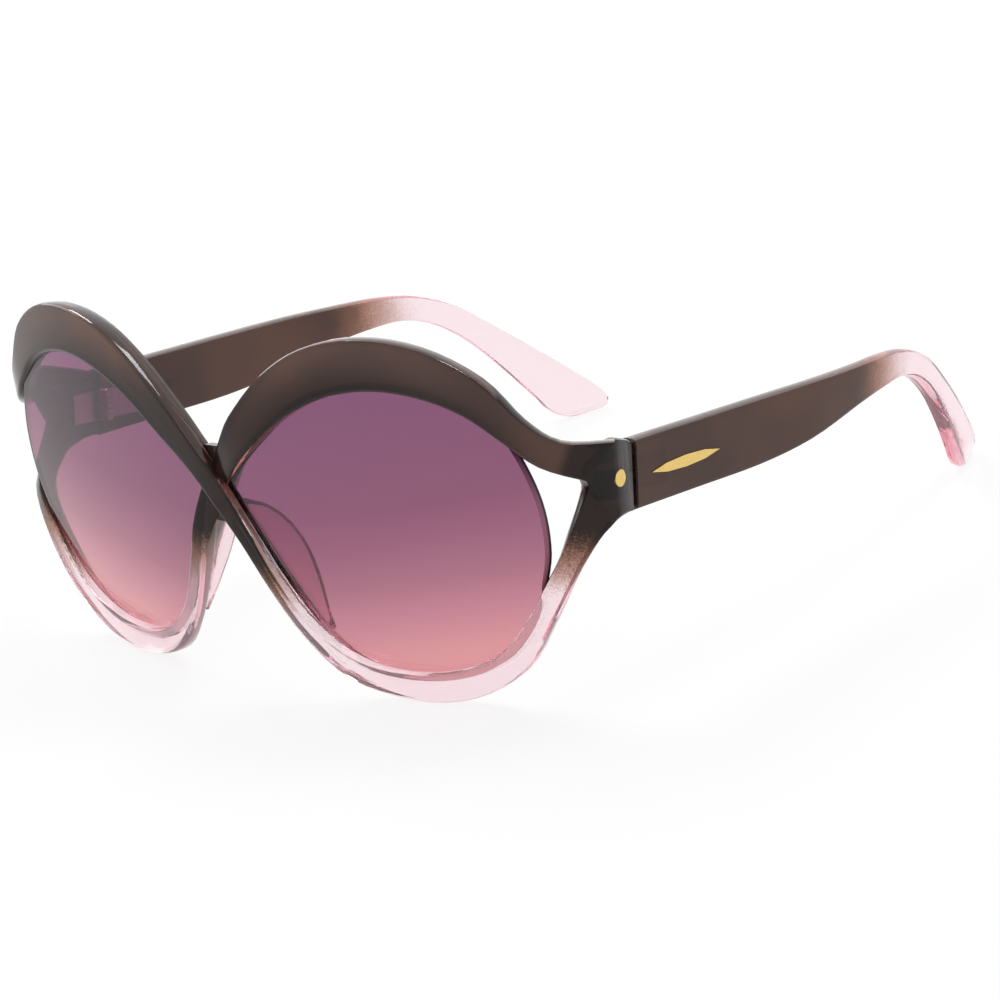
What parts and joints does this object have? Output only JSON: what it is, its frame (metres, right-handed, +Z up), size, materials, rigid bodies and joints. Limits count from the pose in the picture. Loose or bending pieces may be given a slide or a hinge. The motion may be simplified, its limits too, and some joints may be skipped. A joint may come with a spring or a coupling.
{
  "type": "oversized sunglasses",
  "caption": "Oversized sunglasses with crossing upper bands, graded smoke-to-pink plastic, tinted lenses, moulded nose pads and folding temples.",
  "frame": {"origin": "middle of the base, on the surface that the open sunglasses rest on", "axes": "+X towards the wearer's left, +Y backwards along the open temples, +Z up; the lenses face -Y; the pair stands open on its lower rims and temple tips"},
  "size_m": [0.1506, 0.1536, 0.0686],
  "materials": {
    "graded_plastic": "gloss, smoke grey-brown fading to clear pink",
    "pad_plastic": "gloss, clear pink",
    "lens_tint": "polished, graded purple to salmon tint",
    "gold_trim": "polished gold tone",
    "hinge_metal": "satin"
  },
  "bodies": {
    "front": {"front_frame": "graded_plastic", "left_lens": "lens_tint", "right_lens": "lens_tint", "left_nose_pad": "pad_plastic", "right_nose_pad": "pad_plastic", "left_front_hinge": "hinge_metal", "right_front_hinge": "hinge_metal", "left_hinge_screw": "hinge_metal", "right_hinge_screw": "hinge_metal", "left_stud": "gold_trim", "right_stud": "gold_trim"},
    "left_arm": {"left_temple": "graded_plastic", "left_temple_hinge": "hinge_metal", "left_inlay": "gold_trim"},
    "right_arm": {"right_temple": "graded_plastic", "right_temple_hinge": "hinge_metal", "right_inlay": "gold_trim"}
  },
  "joints": [
    {"name": "left_fold", "type": "hinge", "parent": "front", "child": "left_arm", "pos_m": [0.0642, -0.04142, 0.03739], "axis": [0, 0.1501, 0.9887], "range_deg": [0, 86]},
    {"name": "right_fold", "type": "hinge", "parent": "front", "child": "right_arm", "pos_m": [-0.0642, -0.04142, 0.03739], "axis": [0, -0.1501, -0.9887], "range_deg": [0, 78]}
  ]
}
